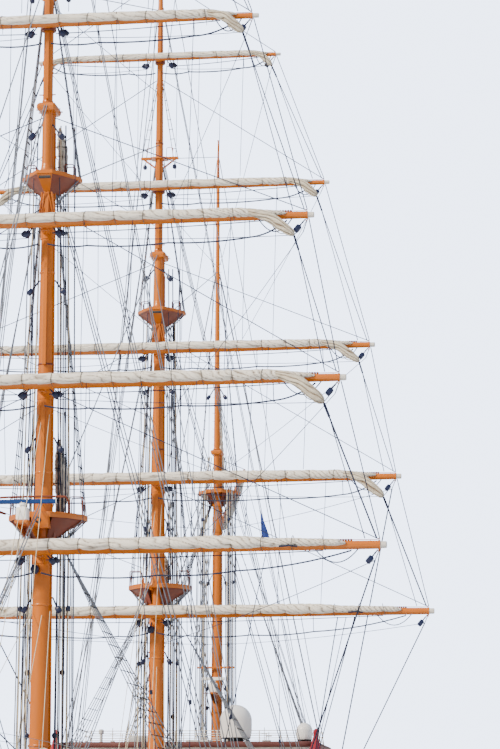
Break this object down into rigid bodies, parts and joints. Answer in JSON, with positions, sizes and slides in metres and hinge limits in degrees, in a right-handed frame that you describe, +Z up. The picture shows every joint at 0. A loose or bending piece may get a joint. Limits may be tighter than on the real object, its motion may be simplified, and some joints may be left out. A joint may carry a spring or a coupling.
{
  "type": "three-masted barque, 1:10 scale model",
  "caption": "Three-masted steel barque afloat with her square sails furled on braced yards, a bridge house aft and a full hull below the waterline; 1:10 scale model.",
  "frame": {"origin": "on the centreline at the waterline, on the axis of the main mast", "axes": "+Z up, -Y towards the bow, +Y towards the stern, +X to port"},
  "size_m": [2.4, 8.9343, 5.076],
  "materials": {
    "topside": "gloss",
    "mast": "gloss",
    "house": "satin",
    "roof": "matte",
    "dome": "gloss",
    "canvas": "matte",
    "iron": "painted",
    "bronze": "polished",
    "wood": "varnished",
    "radar": "gloss",
    "wire": "galvanised"
  },
  "bodies": {
    "ship": {"hull": "topside", "forecastle": "topside", "quarterdeck": "topside", "bulwark_port": "topside", "bulwark_starboard": "topside", "deckhouse_fore": "house", "bridge_house": "house", "bridge_roof": "roof", "radome_large": "dome", "radome_small": "dome", "boat_port": "house", "boat_starboard": "house", "davits_port": "house", "davits_starboard": "house", "steering_box": "wood", "anchor_port": "iron", "anchor_starboard": "iron", "windlass": "iron", "bowsprit": "mast", "sail_headsails": "canvas", "mast_fore": "mast", "mast_fore_topgallant": "mast", "mast_main": "mast", "mast_main_topgallant": "mast", "mast_mizzen": "mast", "mast_mizzen_top": "mast", "sail_mizzen_topsail": "canvas", "stay_fore": "wire", "stay_fore_topmast": "wire", "stay_main": "wire", "stay_mizzen": "wire"},
    "fore_course": {"yard_fore_course": "mast", "sail_fore_course": "canvas"},
    "fore_lower_topsail": {"yard_fore_lower_topsail": "mast", "sail_fore_lower_topsail": "canvas"},
    "fore_upper_topsail": {"yard_fore_upper_topsail": "mast", "sail_fore_upper_topsail": "canvas"},
    "fore_topgallant": {"yard_fore_topgallant": "mast", "sail_fore_topgallant": "canvas"},
    "fore_royal": {"yard_fore_royal": "mast", "sail_fore_royal": "canvas"},
    "main_course": {"yard_main_course": "mast", "sail_main_course": "canvas"},
    "main_lower_topsail": {"yard_main_lower_topsail": "mast", "sail_main_lower_topsail": "canvas"},
    "main_upper_topsail": {"yard_main_upper_topsail": "mast", "sail_main_upper_topsail": "canvas"},
    "main_topgallant": {"yard_main_topgallant": "mast", "sail_main_topgallant": "canvas"},
    "main_royal": {"yard_main_royal": "mast", "sail_main_royal": "canvas"},
    "boom": {"boom_spanker": "mast"},
    "gaff": {"gaff_spanker": "mast", "sail_spanker": "canvas"},
    "rudder": {"rudder": "topside"},
    "propeller": {"propeller": "bronze"},
    "helm_wheel": {"helm_wheel": "wood"},
    "radar_fore": {"radar_fore": "radar"},
    "radar_mizzen": {"radar_mizzen": "dome"}
  },
  "joints": [
    {"name": "brace_fore_course", "type": "hinge", "parent": "ship", "child": "fore_course", "pos_m": [0, -2.41635, 1.365], "axis": [0, 0, 1], "range_deg": [-40, 40]},
    {"name": "brace_fore_lower_topsail", "type": "hinge", "parent": "ship", "child": "fore_lower_topsail", "pos_m": [0, -2.41218, 1.94], "axis": [0, 0, 1], "range_deg": [-40, 40]},
    {"name": "brace_fore_upper_topsail", "type": "hinge", "parent": "ship", "child": "fore_upper_topsail", "pos_m": [0, -2.40802, 2.513], "axis": [0, 0, 1], "range_deg": [-40, 40]},
    {"name": "brace_fore_topgallant", "type": "hinge", "parent": "ship", "child": "fore_topgallant", "pos_m": [0, -2.3925, 3.24], "axis": [0, 0, 1], "range_deg": [-40, 40]},
    {"name": "brace_fore_royal", "type": "hinge", "parent": "ship", "child": "fore_royal", "pos_m": [0, -2.3925, 3.83], "axis": [0, 0, 1], "range_deg": [-40, 40]},
    {"name": "brace_main_course", "type": "hinge", "parent": "ship", "child": "main_course", "pos_m": [0, -0.065, 1.365], "axis": [0, 0, 1], "range_deg": [-40, 40]},
    {"name": "brace_main_lower_topsail", "type": "hinge", "parent": "ship", "child": "main_lower_topsail", "pos_m": [0, -0.06133, 1.94], "axis": [0, 0, 1], "range_deg": [-40, 40]},
    {"name": "brace_main_upper_topsail", "type": "hinge", "parent": "ship", "child": "main_upper_topsail", "pos_m": [0, -0.05767, 2.513], "axis": [0, 0, 1], "range_deg": [-40, 40]},
    {"name": "brace_main_topgallant", "type": "hinge", "parent": "ship", "child": "main_topgallant", "pos_m": [0, -0.0425, 3.24], "axis": [0, 0, 1], "range_deg": [-40, 40]},
    {"name": "brace_main_royal", "type": "hinge", "parent": "ship", "child": "main_royal", "pos_m": [0, -0.0425, 3.83], "axis": [0, 0, 1], "range_deg": [-40, 40]},
    {"name": "boom_swing", "type": "hinge", "parent": "ship", "child": "boom", "pos_m": [0, 1.83274, 0.79], "axis": [0, 0, 1], "range_deg": [-60, 60]},
    {"name": "gaff_swing", "type": "hinge", "parent": "ship", "child": "gaff", "pos_m": [0, 1.82751, 1.985], "axis": [0, 0, 1], "range_deg": [-60, 60]},
    {"name": "rudder_turn", "type": "hinge", "parent": "ship", "child": "rudder", "pos_m": [0, 3.14, -0.37], "axis": [0, 0, 1], "range_deg": [-35, 35]},
    {"name": "propeller_turn", "type": "hinge", "parent": "ship", "child": "propeller", "pos_m": [0, 3.046, -0.375], "axis": [0, 1, 0], "continuous": true},
    {"name": "helm_turn", "type": "hinge", "parent": "ship", "child": "helm_wheel", "pos_m": [0, 3.06, 0.64], "axis": [0, 1, 0], "continuous": true},
    {"name": "radar_fore_turn", "type": "hinge", "parent": "ship", "child": "radar_fore", "pos_m": [-0.034, -2.528, 1.513], "axis": [0, 0, 1], "continuous": true},
    {"name": "radar_mizzen_turn", "type": "hinge", "parent": "ship", "child": "radar_mizzen", "pos_m": [0, 1.648, 1.205], "axis": [0, 0, 1], "continuous": true}
  ],
  "couplings": [
    {"joint": "brace_fore_lower_topsail", "follows": "brace_fore_course", "ratio": 1},
    {"joint": "brace_fore_upper_topsail", "follows": "brace_fore_course", "ratio": 1},
    {"joint": "brace_fore_topgallant", "follows": "brace_fore_course", "ratio": 1},
    {"joint": "brace_fore_royal", "follows": "brace_fore_course", "ratio": 1},
    {"joint": "brace_main_lower_topsail", "follows": "brace_main_course", "ratio": 1},
    {"joint": "brace_main_upper_topsail", "follows": "brace_main_course", "ratio": 1},
    {"joint": "brace_main_topgallant", "follows": "brace_main_course", "ratio": 1},
    {"joint": "brace_main_royal", "follows": "brace_main_course", "ratio": 1}
  ]
}
